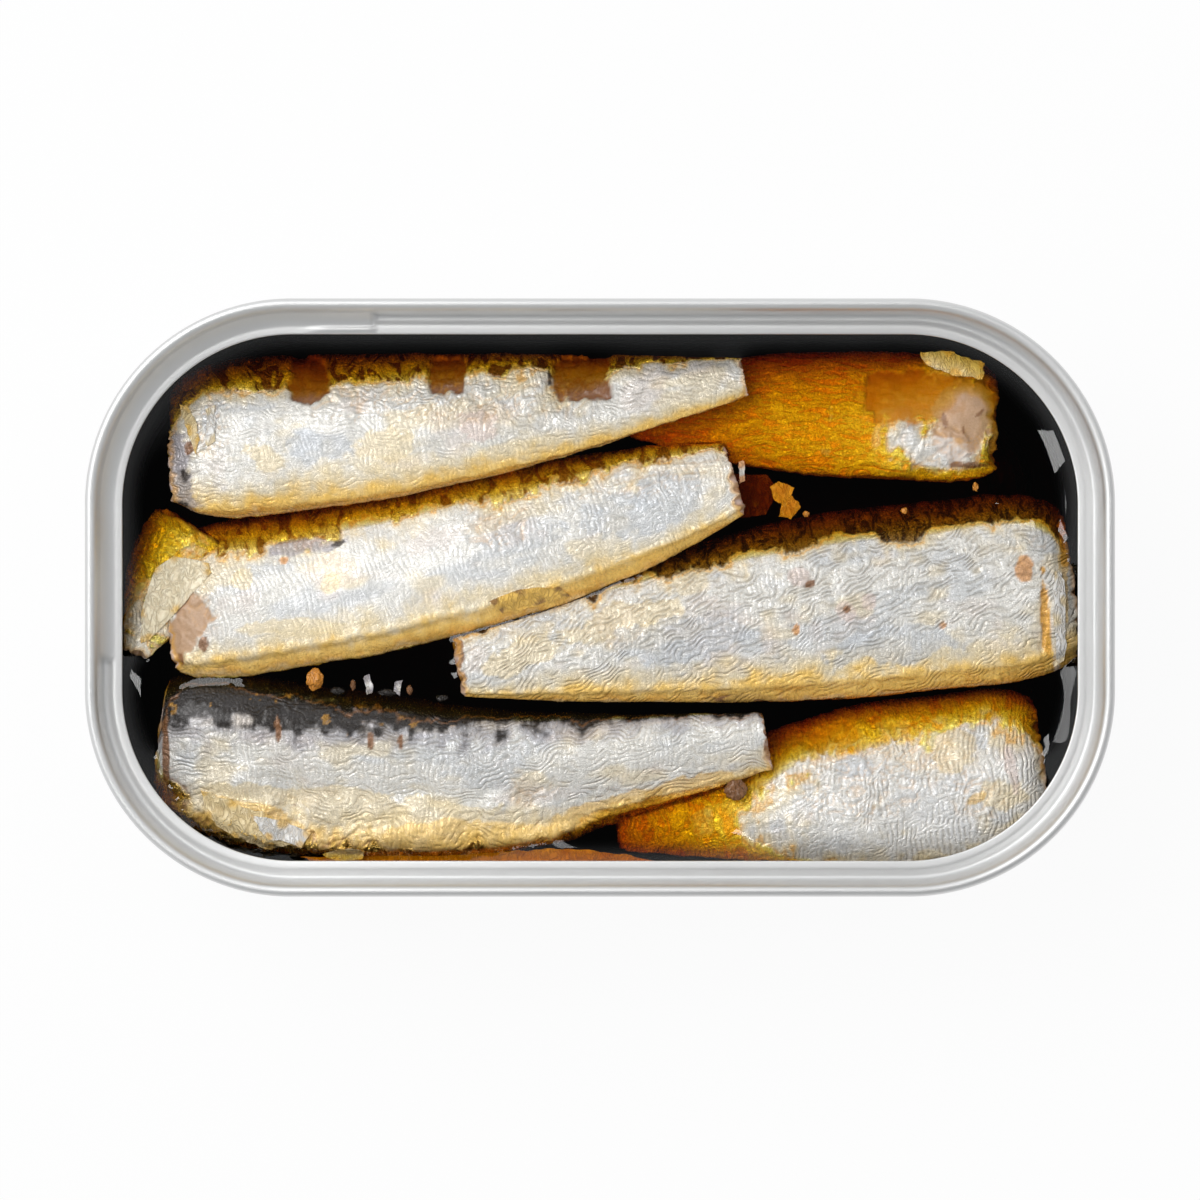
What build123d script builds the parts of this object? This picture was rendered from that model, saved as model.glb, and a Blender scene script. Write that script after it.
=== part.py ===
from build123d import *
import os
from math import cos, pi, radians, sin

# Open rectangular sardine tin with its sardines in oil, in millimetres.
# The origin is at the centre of the tin's underside. +X runs along the tin, +Y across it and +Z up.
# The tin is a drawn body whose wall ends inside a seam, and the seam ring is what is left of the
# pull-off lid: the seam itself, the chuck wall, the countersink and the narrow ledge along the tear.
# The fish lie on their sides, some with their tails over their neighbours. Each one is pressed into
# shape by the fish above it, and the oil fills the tin round them up to its level.

# Tin, over the seam
tin_length = 104.0
tin_width = 60.4
tin_height = 28.0
corner_radius = 20.8

# Metal and seam
sheet = 0.24
seam_thickness = 1.25
seam_height = 2.9
seam_crown = 0.5
hook_depth = 0.72  # from the seam's outer face to the body's wall
wall_lap = 2.1  # how far the body's wall reaches up into the seam

# What is left of the lid inside the seam
ledge_depth = 3.0  # from the top of the seam down to the ledge
ledge_reach = 1.85  # from the chuck wall to the torn edge
countersink_width = 0.8
countersink_drop = 0.35
chuck_slope = 0.3

# Base of the body
base_radius = 2.4
foot_width = 4.2
panel_rise = 0.9
panel_slope = 35
step_inset = 5.0
step_rise = 0.5

# Contents
oil_level = 20.7
wall_gap = 0.3  # between the fish and the tin's wall
headroom = 4.7  # from the highest fish to the top of the seam
section_places = [0, 0.025, 0.08, 0.2, 0.35, 0.5, 0.65, 0.8, 0.91, 1]  # shares of a fish's length
section_points = 14  # round each section
back_fullness = 0.2  # how much thicker a fish is at its back than in the middle
belly_curl = 0.015  # how far the belly's edge lifts for each degree of roll, in half widths
cut_share = 0.62  # size of a fish at its cut head end, of its full size
cut_reach = 0.08  # share of the length over which that end is rounded
cut_sink = 1 / 3  # share of the thickness lost there that comes off the top
head_narrowing = 0.06  # how much slimmer a fish is at its head end than at its shoulder

body_inset = hook_depth
seam_bottom = tin_height - seam_height
body_top = seam_bottom + wall_lap
ledge_top = tin_height - ledge_depth
fish_top = tin_height - headroom
room_x = tin_length / 2 - body_inset - sheet - wall_gap
room_y = tin_width / 2 - body_inset - sheet - wall_gap

# Each fish from its cut end behind the head to its cut tail, the upper ones first. The plan places
# are shares of the room inside the wall, from its centre, and bow moves the middle towards +Y.
# width is taken from above where the fish is broadest, at the share "shoulder" of its length, and
# taper says how late it narrows. head_top and tail_top are how far its upper side lies under the
# highest fish, and roll lifts the belly, which is the side towards -Y, in degrees.
fish_shapes = {
    "sardine_rear_left": dict(
        head=(-0.878, 0.56), tail=(0.294, 0.786), bow=-0.9, width=17.0, tail_width=4.1,
        shoulder=0.15, taper=1.6, thickness=10.6, tail_thickness=3.4, head_top=0.5, tail_top=0.5,
        roll=18,
    ),
    "sardine_side_scrap": dict(
        head=(-0.815, 0.246), tail=(-0.945, -0.204), bow=0.4, width=11.0, tail_width=2.4,
        shoulder=0.35, taper=1.3, thickness=5.0, tail_thickness=1.6, head_top=2.8, tail_top=1.5,
        roll=8,
    ),
    "sardine_middle_left": dict(
        head=(-0.885, -0.05), tail=(0.275, 0.422), bow=-1.25, width=16.4, tail_width=7.8,
        shoulder=0.25, taper=3.0, thickness=10.4, tail_thickness=4.4, head_top=0.5, tail_top=0.3,
        roll=16,
    ),
    "sardine_middle_right": dict(
        head=(0.965, 0.05), tail=(-0.29, -0.25), bow=1.0, width=19.7, tail_width=6.4,
        shoulder=0.33, taper=1.6, thickness=11.6, tail_thickness=4.0, head_top=0.0, tail_top=0.8,
        roll=13,
    ),
    "sardine_front_left": dict(
        head=(-0.90, -0.512), tail=(0.34, -0.512), bow=-3.7, width=16.8, tail_width=6.0,
        shoulder=0.24, taper=1.6, thickness=10.6, tail_thickness=3.6, head_top=0.7, tail_top=0.8,
        roll=-2,
    ),
    "sardine_front_right": dict(
        head=(0.905, -0.60), tail=(0.03, -0.83), bow=0.5, width=17.4, tail_width=4.8,
        shoulder=0.35, taper=1.5, thickness=10.4, tail_thickness=4.0, head_top=0.7, tail_top=5.0,
        roll=14,
    ),
    "sardine_rear_right": dict(
        head=(0.81, 0.635), tail=(0.04, 0.68), bow=0.2, width=13.9, tail_width=5.0,
        shoulder=0.3, taper=2.4, thickness=8.6, tail_thickness=3.4, head_top=2.35, tail_top=5.4,
        roll=12,
    ),
}


def outline(inset, mode=Mode.ADD):
    """The tin's rounded plan, brought in on every side."""
    return RectangleRounded(
        tin_length - 2 * inset, tin_width - 2 * inset, corner_radius - inset, mode=mode
    )


def can_form(skin):
    """The tin body as a solid block with its raised base, brought in by skin."""
    with BuildPart() as form:
        with BuildSketch(Plane.XY.offset(skin)):
            outline(body_inset + skin)
        extrude(amount=body_top - skin)
        fillet(form.edges().group_by(Axis.Z)[0], base_radius - skin)
        with BuildSketch(Plane.XY.offset(skin)):
            outline(body_inset + foot_width - skin)
        extrude(amount=panel_rise, taper=panel_slope, mode=Mode.SUBTRACT)
        with BuildSketch(Plane.XY.offset(skin + panel_rise)):
            outline(body_inset + foot_width + step_inset - skin)
        extrude(amount=step_rise, taper=panel_slope, mode=Mode.SUBTRACT)
    return form.part


def build_tin_body():
    """Drawn body: base, wall, and the wall's top edge inside the seam."""
    with BuildPart() as tin_body:
        add(can_form(0))
        add(can_form(sheet), mode=Mode.SUBTRACT)
    return tin_body.part


def build_seam_ring():
    """Seam, chuck wall, countersink and torn ledge, as one profile taken round the tin."""
    chuck_inset = seam_thickness + chuck_slope
    ledge_edge = chuck_inset + ledge_reach
    sink_middle = chuck_inset + countersink_width
    sink_bottom = ledge_top - countersink_drop
    half_step = countersink_drop / 2
    under_step = sink_middle + sheet / 2
    with BuildSketch() as plan:
        outline(0)
    path = plan.face().outer_wire()
    inward = Vector(0, 0, 1).cross(path % 0)
    if inward.dot(path @ 0) > 0:
        inward = -inward
    profile_plane = Plane(origin=path @ 0, x_dir=inward, z_dir=inward.cross(Vector(0, 0, 1)))
    with BuildPart() as seam_ring:
        with BuildSketch(profile_plane):
            with BuildLine():
                outside = Polyline(
                    (body_inset, seam_bottom),
                    (0, seam_bottom),
                    (0, tin_height - seam_crown),
                )
                crown = Spline(
                    outside @ 1,
                    (seam_thickness / 2, tin_height),
                    (seam_thickness, tin_height - seam_crown),
                    tangents=[(0, 1), (0, -1)],
                )
                Polyline(
                    crown @ 1,
                    (chuck_inset, sink_bottom),
                    (sink_middle - half_step, sink_bottom),
                    (sink_middle + half_step, ledge_top),
                    (ledge_edge, ledge_top),
                    (ledge_edge, ledge_top - sheet),
                    (under_step + half_step, ledge_top - sheet),
                    (under_step - half_step, sink_bottom - sheet),
                    (body_inset + sheet, sink_bottom - sheet),
                    (body_inset + sheet, body_top),
                    (body_inset, body_top),
                    outside @ 0,
                )
            make_face()
        sweep(path=path)
    return seam_ring.part


def size_share(shape, along):
    """A fish's size at a place along it, as a share of its greatest, before its cut end rounds."""
    shoulder = shape["shoulder"]
    if along < shoulder:
        return 1 - head_narrowing * ((shoulder - along) / shoulder) ** 2
    narrowing = ((along - shoulder) / (1 - shoulder)) ** shape["taper"]
    return 1 - (1 - shape["tail_width"] / shape["width"]) * narrowing


def end_rounding(along):
    """How far the rounding of the cut head end has gone, from 1 at the cut to 0 past its reach."""
    return max(0, 1 - along / cut_reach) ** 2


def section_outline(shape, along):
    """Points round a section, from its middle line and downwards from its highest point."""
    tail_share = shape["tail_width"] / shape["width"]
    share = size_share(shape, along)
    flesh = (share - tail_share) / (1 - tail_share)
    rounding = 1 - (1 - cut_share) * end_rounding(along)
    half_width = shape["width"] * share * (1 + rounding) / 4
    thickness = shape["tail_thickness"] + (shape["thickness"] - shape["tail_thickness"]) * flesh
    half_thickness = thickness * rounding / 2
    roll = radians(shape["roll"])
    curl = belly_curl * shape["roll"] * half_width
    points = []
    for k in range(section_points):
        angle = 2 * pi * k / section_points
        back = half_width * cos(angle)
        up = half_thickness * sin(angle) * (1 + back_fullness * cos(angle))
        up += curl * ((1 - cos(angle)) / 2) ** 2
        points.append((back * cos(roll) + up * sin(roll), up * cos(roll) - back * sin(roll)))
    low, high = min(x for x, _ in points), max(x for x, _ in points)
    top = max(z for _, z in points)
    widen = 2 * half_width / (high - low)
    return [((x - (low + high) / 2) * widen, z - top) for x, z in points]


def section_plane(shape, along):
    """Where a section stands: x towards the fish's back, y up."""
    head = Vector(shape["head"][0] * room_x, shape["head"][1] * room_y)
    tail = Vector(shape["tail"][0] * room_x, shape["tail"][1] * room_y)
    length = tail - head
    across = Vector(-length.Y, length.X).normalized()
    if across.Y < 0:
        across = -across
    bow = shape["bow"]
    centre = head + length * along + across * (bow * sin(pi * along))
    heading = (length + across * (bow * pi * cos(pi * along))).normalized()
    if heading.X < 0:
        heading = -heading
    sink = shape["head_top"] + (shape["tail_top"] - shape["head_top"]) * along**2
    sink += cut_sink * (1 - cut_share) * shape["thickness"] * end_rounding(along)
    return Plane(
        origin=(centre.X, centre.Y, fish_top - sink), x_dir=(-heading.Y, heading.X), z_dir=heading
    )


def build_fish(shape, lying_above):
    """One beheaded sardine, kept inside the wall and pressed by the fish above it."""
    with BuildPart() as fish:
        for along in section_places:
            with BuildSketch(section_plane(shape, along)):
                with BuildLine():
                    Spline(*section_outline(shape, along), periodic=True)
                make_face()
        loft()
        with BuildSketch(Plane.XY):
            outline(body_inset + sheet + wall_gap)
        extrude(amount=tin_height, mode=Mode.INTERSECT)
        for other in lying_above:
            add(other, mode=Mode.SUBTRACT)
    return fish.part.solids().sort_by(SortBy.VOLUME)[-1]


def build_oil(fish):
    """Everything inside the tin below the oil's level that is not fish."""
    with BuildPart() as oil:
        add(can_form(sheet))
        split(bisect_by=Plane.XY.offset(oil_level), keep=Keep.BOTTOM)
        for one in fish:
            add(one, mode=Mode.SUBTRACT)
    return oil.part.solids().sort_by(SortBy.VOLUME)[-1]


def write(shape, name):
    shape.label = name
    export_step(shape, f"parts/{name}.step")


os.makedirs("parts", exist_ok=True)
write(build_tin_body(), "tin_body")
write(build_seam_ring(), "seam_ring")
sardines = []
for fish_name, fish_shape in fish_shapes.items():
    sardines.append(build_fish(fish_shape, sardines))
    write(sardines[-1], fish_name)
write(build_oil(sardines), "oil")
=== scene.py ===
import math

import bmesh
import bpy
import numpy as np
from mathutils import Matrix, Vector
from mathutils.bvhtree import BVHTree


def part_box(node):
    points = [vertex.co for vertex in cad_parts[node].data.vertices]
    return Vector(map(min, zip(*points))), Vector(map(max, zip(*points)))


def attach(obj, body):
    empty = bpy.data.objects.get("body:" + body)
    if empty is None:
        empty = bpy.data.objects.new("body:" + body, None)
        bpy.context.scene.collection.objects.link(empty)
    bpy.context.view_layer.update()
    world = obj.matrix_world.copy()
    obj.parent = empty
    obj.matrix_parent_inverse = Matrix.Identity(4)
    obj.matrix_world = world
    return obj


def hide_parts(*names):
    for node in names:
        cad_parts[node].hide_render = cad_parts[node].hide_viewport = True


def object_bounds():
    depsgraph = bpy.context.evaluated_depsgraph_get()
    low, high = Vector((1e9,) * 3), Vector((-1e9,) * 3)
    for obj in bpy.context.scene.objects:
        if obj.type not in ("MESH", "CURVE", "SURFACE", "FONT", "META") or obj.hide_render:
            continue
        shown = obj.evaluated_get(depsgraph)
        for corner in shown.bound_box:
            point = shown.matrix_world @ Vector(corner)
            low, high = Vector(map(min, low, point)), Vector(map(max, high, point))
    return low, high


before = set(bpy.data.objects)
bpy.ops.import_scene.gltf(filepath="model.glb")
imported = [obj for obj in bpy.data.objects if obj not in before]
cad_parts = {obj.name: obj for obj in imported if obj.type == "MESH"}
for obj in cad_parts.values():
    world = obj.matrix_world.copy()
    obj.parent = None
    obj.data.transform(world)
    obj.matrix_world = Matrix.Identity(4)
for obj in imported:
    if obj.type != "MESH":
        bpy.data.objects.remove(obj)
cadLow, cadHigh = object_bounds()
mm = 0.001
tinTop = cadHigh.z
halfLength, halfWidth = cadHigh.x, cadHigh.y
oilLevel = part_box("oil")[1].z
print("frame loaded: tin", round(2000 * halfLength, 1), "x", round(2000 * halfWidth, 1), "mm")


# Meshes: a finished bmesh becomes an object that rides on the tin
def finishPiece(bm, name, material, stands, sharpAngle=50):
    for face in bm.faces:
        face.smooth = True
    for edge in bm.edges:
        if len(edge.link_faces) == 2 and edge.calc_face_angle(0) > math.radians(sharpAngle):
            edge.smooth = False
    mesh = bpy.data.meshes.new(name)
    bm.to_mesh(mesh)
    bm.free()
    return placePiece(mesh, name, material, stands)


def placePiece(mesh, name, material, stands):
    mesh.materials.clear()
    mesh.materials.append(material)
    piece = bpy.data.objects.new(name, mesh)
    bpy.context.scene.collection.objects.link(piece)
    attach(piece, "root")
    if stands:
        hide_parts(stands)
    return piece


def pointsOf(mesh):
    points = np.empty(len(mesh.vertices) * 3)
    mesh.vertices.foreach_get("co", points)
    return points.reshape(-1, 3)


def movePoints(mesh, points):
    mesh.vertices.foreach_set("co", np.ascontiguousarray(points, np.float32).ravel())
    mesh.update()


def normalsOf(mesh):
    normals = np.empty(len(mesh.vertices) * 3, np.float32)
    mesh.vertex_normals.foreach_get("vector", normals)
    return normals.reshape(-1, 3).astype(float)


def keepAttribute(mesh, name, values):
    kept = mesh.attributes.new(name, "FLOAT_VECTOR", "POINT")
    kept.data.foreach_set("vector", np.ascontiguousarray(values, np.float32).ravel())


# Fields of numbers: smooth steps and clouds, from -1 to 1 with one cell to the unit
def ease(low, high, value):
    share = np.clip((value - low) / (high - low), 0, 1)
    return share * share * (3 - 2 * share)


def latticeNoise(points):
    cell = np.floor(points).astype(np.int64)
    part = points - cell
    part = part**3 * (part * (part * 6 - 15) + 10)
    total = np.zeros(len(points))
    for corner in np.ndindex(2, 2, 2):
        place = cell + corner
        key = (place * (73856093, 19349663, 83492791)).sum(1)
        key = ((key ^ (key >> 13)) * 1274126177) & 0x7FFFFFFF
        value = ((key ^ (key >> 15)) % 65536) / 32767.5 - 1
        total += value * np.where(corner, part, 1 - part).prod(1)
    return total


def cloudNoise(points, seed, octaves=3):
    total, strength, whole = 0, 1.0, 0
    for octave in range(octaves):
        total = total + strength * latticeNoise(points * 2**octave + seed * 7.31 + octave * 19.7)
        whole += strength
        strength *= 0.5
    return total / whole


# Materials: a Signal is a socket's value, and sums of signals add the nodes they need
class Signal:
    def __init__(self, tree, socket=None):
        self.tree, self.socket = tree, socket

    def node(self, kind, settings=None, inputs=None, output=0):
        made = self.tree.nodes.new(kind)
        for name, value in (settings or {}).items():
            setattr(made, name, value)
        for name, value in (inputs or {}).items():
            if isinstance(value, Signal):
                self.tree.links.new(value.socket, made.inputs[name])
            else:
                made.inputs[name].default_value = value
        return Signal(self.tree, made.outputs[output])

    def maths(self, operation, *values):
        inputs = dict(enumerate((self, *values)))
        return self.node("ShaderNodeMath", {"operation": operation}, inputs)

    def __add__(self, other):
        return self.maths("ADD", other)

    __radd__ = __add__

    def __sub__(self, other):
        return self.maths("SUBTRACT", other)

    def __rsub__(self, other):
        return self.maths("MULTIPLY_ADD", -1.0, other)

    def __mul__(self, other):
        return self.maths("MULTIPLY", other)

    __rmul__ = __mul__

    def size(self):
        return self.maths("ABSOLUTE")

    def most(self, other):
        return self.maths("MAXIMUM", other)

    def ease(self, low, high, start=0.0, end=1.0):
        inputs = {0: self, 1: low, 2: high, 3: start, 4: end}
        return self.node("ShaderNodeMapRange", {"interpolation_type": "SMOOTHSTEP"}, inputs)

    def mix(self, first, second):  # self is the share of the second colour
        inputs = {0: self, 6: first, 7: second}
        return self.node("ShaderNodeMix", {"data_type": "RGBA"}, inputs, 2)

    def parts(self):
        outputs = self.node("ShaderNodeSeparateXYZ", None, {0: self}).socket.node.outputs
        return [Signal(self.tree, outputs[k]) for k in range(3)]

    def joined(self, y, z=0.0):
        return self.node("ShaderNodeCombineXYZ", None, {0: self, 1: y, 2: z})

    def noise(self, scale, detail=2.0, roughness=0.5, distortion=0.0):
        inputs = {"Vector": self, "Scale": scale, "Detail": detail}
        inputs.update({"Roughness": roughness, "Distortion": distortion})
        return self.node("ShaderNodeTexNoise", None, inputs)

    def scaled(self, x, y, z):
        settings = {"operation": "MULTIPLY"}
        return self.node("ShaderNodeVectorMath", settings, {0: self, 1: (x, y, z)})


def newMaterial(name, steady):
    material = bpy.data.materials.new(name)
    material.use_nodes = True
    shader = material.node_tree.nodes["Principled BSDF"]
    for socket, value in steady.items():
        shader.inputs[socket].default_value = value
    return material, shader, Signal(material.node_tree)


def feed(shader, **signals):  # Base_Color=signal and so on
    for name, signal in signals.items():
        signal.tree.links.new(signal.socket, shader.inputs[name.replace("_", " ")])


def objectPlace(start):
    return start.node("ShaderNodeTexCoord", None, None, 3)


def attribute(start, name):
    return start.node("ShaderNodeAttribute", {"attribute_name": name}, None, 1)


def colour(red, green, blue):
    return (red, green, blue, 1.0)


# The tin: body and seam are strips of one profile taken round the rounded plan
tinLook = dict(
    cornerRadius=20.8,
    stepsRound=900,
    sheet=0.24,
    bodyInset=0.72,
    metal=(0.74, 0.74, 0.735, 1),
    # the inside of the tin is painted near black: painted shade for the unlit inner wall under the seam
    paintedInnerShade=(0.11, 0.11, 0.115, 1),
    roughness=0.51,
    scuffing=0.10,
    smearing=0.12,
    scuffsPerMetre=900,
    smearsPerMetre=110,
    openedFrom=0.328,  # the shares of the way round where the tear began and where its wide part ends
    openedTo=0.5225,
    openedHollow=24.86,
    openedRise=1.5,
    fingerInset=2.95,  # the small lip where the wide part of the tear begins
    fingerWidth=0.28,
    fingerRise=0.22,
)


def roundPlan(inset, share):  # a point of the plan brought in by inset, at a share of the way round
    radius = tinLook["cornerRadius"] * mm
    a, b = halfLength - radius, halfWidth - radius
    arc = math.pi / 2 * radius
    runs = np.cumsum([0, b, arc, 2 * a, arc, 2 * b, arc, 2 * a, arc, b])
    travel = share * runs[-1]
    turn = np.interp(travel, runs, np.radians([0, 0, 90, 90, 180, 180, 270, 270, 360, 360]))
    x = np.interp(travel, runs, [a, a, a, -a, -a, -a, -a, a, a, a])
    y = np.interp(travel, runs, [0, b, b, b, b, -b, -b, -b, -b, 0])
    return x + (radius - inset) * np.cos(turn), y + (radius - inset) * np.sin(turn)


def cutCorners(profile, times, closed=False):
    for _ in range(times):
        ends = profile[1:] + profile[:1] if closed else profile[1:]
        cut = []
        for (x, z), (nextX, nextZ) in zip(profile, ends):
            cut.append((0.75 * x + 0.25 * nextX, 0.75 * z + 0.25 * nextZ))
            cut.append((0.25 * x + 0.75 * nextX, 0.25 * z + 0.75 * nextZ))
        profile = cut if closed else [profile[0], *cut, profile[-1]]
    return profile


def roundStrip(profile, closed, shaped=None):  # profile of (inset, height) in millimetres
    steps = tinLook["stepsRound"]
    profile = np.array(profile + profile[:1] if closed else profile) * mm
    bm = bmesh.new()
    rows = len(profile) - 1
    bmesh.ops.create_grid(bm, x_segments=steps, y_segments=rows, size=0.5)
    for vertex in bm.verts:
        share = vertex.co.x + 0.5
        row = round((vertex.co.y + 0.5) * rows)
        inset, height = profile[row]
        if shaped:
            inset, height = shaped(row, inset, height, share)
        x, y = roundPlan(inset, share)
        vertex.co = (x, y, height)
    bmesh.ops.remove_doubles(bm, verts=bm.verts, dist=0.002 * mm)
    return bm


def tinMetal():
    steady = {"Base Color": tinLook["metal"], "Metallic": 1.0, "Roughness": tinLook["roughness"]}
    material, shader, start = newMaterial("tinMetal", steady)
    inside = attribute(start, "inside").parts()[0]
    place = objectPlace(start)
    scuffs = place.noise(tinLook["scuffsPerMetre"], 3, 0.6)
    smears = place.noise(tinLook["smearsPerMetre"], 2)
    # inside the tin the metal colour turns near black, painted shade for the unlit inner wall
    metal = inside.mix(tinLook["metal"], tinLook["paintedInnerShade"])
    shine = scuffs * tinLook["scuffing"] + smears * tinLook["smearing"]
    least = tinLook["roughness"] - (tinLook["scuffing"] + tinLook["smearing"]) / 2
    feed(shader, Base_Color=metal, Roughness=shine + least)
    return material


def buildTinBody(material):
    sheet, wall = tinLook["sheet"], tinLook["bodyInset"]
    outer = [(14.0, 1.40), (10.3, 1.40), (9.95, 0.92), (5.6, 0.90), (4.95, 0.02), (4.5, 0)]
    outer += [(3.1, 0), (1.7, 0.35), (0.95, 1.1), (wall, 2.5), (wall, 14), (wall, 27.18)]
    inner = [(wall + sheet, 27.18), (wall + sheet, 14), (wall + sheet, 2.5), (1.15, 1.25)]
    inner += [(1.85, 0.57), (3.1, 0.24), (4.4, 0.24), (4.75, 0.26), (5.4, 1.14), (9.8, 1.16)]
    inner += [(10.15, 1.64), (14.0, 1.64)]
    bm = roundStrip(cutCorners(outer, 1) + cutCorners(inner, 1), False)
    holes = [edge for edge in bm.edges if edge.is_boundary]
    bmesh.ops.holes_fill(bm, edges=holes, sides=0)
    bmesh.ops.recalc_face_normals(bm, faces=bm.faces)
    piece = finishPiece(bm, "tinBody", material, "tin_body")
    points = pointsOf(piece.data)
    # where the painted shade of the inner face lies: the whole inside of the tin above its floor
    behindSkin = ease(wall + 0.4 * sheet, wall + 0.6 * sheet, insideWall(points, 0.0))
    inside = behindSkin * ease(0.1, 0.2, points[:, 2] / mm)
    keepAttribute(piece.data, "inside", np.stack((inside, inside, inside), 1))
    return piece


def openedShape(row, inset, height, share):  # where the tear began, the step is drawn out flat
    if not ringTop[0] <= row <= ringTop[1]:
        return inset, height
    start, end = tinLook["openedFrom"], tinLook["openedTo"]
    opened = float(ease(start, start + 0.0012, share) * (1 - ease(end - 0.002, end, share)))
    across = max(0.0, (inset / mm - 1.3) / 2.1)
    hollow = (tinLook["openedHollow"] + tinLook["openedRise"] * (1 - min(1.0, across)) ** 2.3) * mm
    height = height + (max(height, hollow) - height) * opened if across > 0 else height
    finger = opened * float(1 - ease(start + 0.016, start + 0.026, share))
    away = (inset / mm - tinLook["fingerInset"]) / tinLook["fingerWidth"]
    height += tinLook["fingerRise"] * mm * finger * math.exp(-(away**2))
    return inset, height


ringOutside = [(0.70, 25.12), (0.25, 25.10), (0.03, 25.35), (0, 25.9), (0, 26.9), (0.02, 27.4)]
ringOver = [(0.14, 27.76), (0.36, 27.95), (0.62, 28.0), (0.88, 27.93), (1.10, 27.72), (1.24, 27.35)]
ringOver += [(1.30, 26.8), (1.42, 25.7), (1.52, 25.05), (1.68, 24.80), (1.90, 24.74), (2.14, 24.80)]
ringOver += [(2.40, 24.93), (2.62, 25.0), (2.9, 24.99), (3.2, 24.95), (3.40, 24.92), (3.45, 24.80)]
ringUnder = [(3.36, 24.72), (2.6, 24.76), (2.35, 24.66), (2.1, 24.50), (1.7, 24.46), (0.97, 24.7)]
ringUnder += [(0.97, 27.19), (0.73, 27.19)]
ringProfile = cutCorners(ringOutside + ringOver + ringUnder, 1, True)
ringTop = (2 * len(ringOutside) + 10, 2 * (len(ringOutside) + len(ringOver)) - 5)


def buildSeamRing(material):
    bm = roundStrip(ringProfile, True, openedShape)
    bmesh.ops.recalc_face_normals(bm, faces=bm.faces)
    return finishPiece(bm, "seamRing", material, "seam_ring", 65)


# The fish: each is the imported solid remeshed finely, wrinkled, torn and painted in its own lengths.
# Marks, folds and the rest stand at plan places in millimetres. A mark is x, y, half sizes and a turn
# in degrees, a fold is the places it runs through, its width and its height, a calm place is x, y and
# half sizes, and lifts, swells and ruffles are x, y, half sizes and a height
fishShared = dict(
    voxel=0.20,
    dents=0.15,
    grain=0.02,
    tornStep=0.16,
    windowStep=0.5,
    foilFolds=0.26,
    keelRise=0.16,
    keelDrop=0.25,
    curl=1.15,
    endTear=1.1,  # how far the cut ends draw in at most
    ripple=0.62,  # from furrow to furrow of the two kinds of wrinkle
    ribbing=0.55,
    furrowDepth=0.095,
    furrowShade=0.32,
    milkHeight=0.10,
    grainHeight=0.010,
    threadHeight=0.05,
    wetness=0.30,
)
skinTones = dict(
    pale=(0.80, 0.78, 0.73),
    white=(0.90, 0.89, 0.87),
    cool=(0.58, 0.61, 0.65),
    cream=(0.88, 0.71, 0.40),
    ivory=(0.99, 0.88, 0.64),
    pink=(0.74, 0.58, 0.52),
    gold=(0.98, 0.62, 0.14),
    amber=(0.80, 0.40, 0.05),
    brown=(0.26, 0.12, 0.05),
    window=(0.20, 0.058, 0.004),
    bare=(0.52, 0.21, 0.012),
    flesh=(0.52, 0.31, 0.17),
    stain=(0.72, 0.29, 0.035),
    black=(0.03, 0.02, 0.015),
    slate=(0.30, 0.28, 0.33),
    ink=(0.018, 0.014, 0.012),
)
markStrengths = dict(cool=0.55, cream=0.55, pink=0.55, gold=0.6, white=0.55, stain=0.75, slate=0.7)
skinWashes = (  # tone, strength, where its cloud starts and is full, and the cloud's sizes and number
    ("cool", 0.50, 0.0, 0.40, (6, 2.6, 11)),
    ("cream", 0.45, 0.05, 0.45, (4, 2.4, 12)),
    ("pink", 0.25, 0.10, 0.50, (5, 3, 13)),
)
bellyBands = (  # tone, strength, and where it starts and is full from the fish's own gold line
    ("cream", 0.80, -0.35, 0.0),
    ("gold", 0.92, -0.10, 0.13),
    ("amber", 0.85, 0.10, 0.28),
)
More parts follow.
